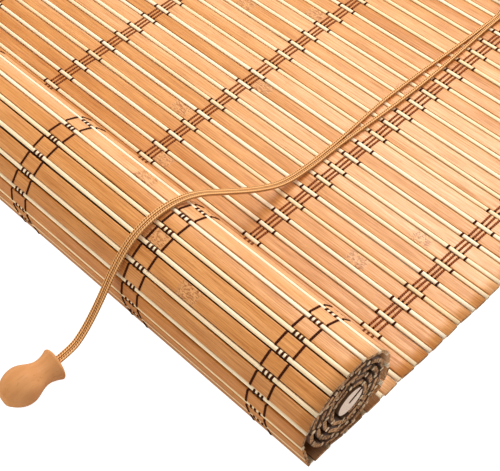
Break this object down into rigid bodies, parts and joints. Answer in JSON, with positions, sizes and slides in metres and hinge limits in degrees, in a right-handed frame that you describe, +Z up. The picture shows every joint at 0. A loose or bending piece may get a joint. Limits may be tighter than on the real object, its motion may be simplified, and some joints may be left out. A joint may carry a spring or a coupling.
{
  "type": "bamboo roll up blind",
  "caption": "Bamboo roll up blind lying flat with its lower end rolled over a slotted rod, woven slats and sticks, head rail with hangers, twin pulley and a pull cord with a turned knob",
  "frame": {"origin": "middle of the surface that the blind lies on, under the box of the blind without its cord and knob", "axes": "+Z up from that surface, +X along the slats, +Y along the drop towards the head rail"},
  "size_m": [0.4468, 0.4891, 0.0616],
  "materials": {
    "slats": "oiled bamboo, fine lengthwise grain",
    "sticks": "bare pale bamboo",
    "threads": "dark brown cotton thread",
    "rod": "bare sawn softwood",
    "rail": "planed and oiled lath",
    "steel": "zinc plated",
    "sheaves": "turned brass",
    "cord": "braided tan cord",
    "knob": "turned, bare wood"
  },
  "bodies": {
    "blind": {"flat_slats": "slats", "flat_sticks": "sticks", "roll_slats": "slats", "roll_sticks": "sticks", "warp_band_1": "threads", "warp_band_2": "threads", "warp_band_3": "threads", "warp_band_4": "threads", "warp_band_5": "threads", "roll_band_1": "threads", "roll_band_2": "threads", "roll_band_3": "threads", "roll_band_4": "threads", "roll_band_5": "threads", "bottom_rod": "rod", "head_rail": "rail", "mat_staples": "steel", "hanger_left": "steel", "hanger_right": "steel", "hanger_screws": "steel", "pulley_bracket": "steel", "pulley_axle": "steel", "pulley_screws": "steel", "cord_left": "cord", "cord_right": "cord", "pull_knob": "knob"},
    "left_sheave": {"sheave_left": "sheaves"},
    "right_sheave": {"sheave_right": "sheaves"}
  },
  "joints": [
    {"name": "left_sheave_turn", "type": "hinge", "parent": "blind", "child": "left_sheave", "pos_m": [0.0826, 0.16635, 0.0258], "axis": [1, 0, 0], "continuous": true},
    {"name": "right_sheave_turn", "type": "hinge", "parent": "blind", "child": "right_sheave", "pos_m": [0.0826, 0.16635, 0.0258], "axis": [1, 0, 0], "continuous": true}
  ]
}
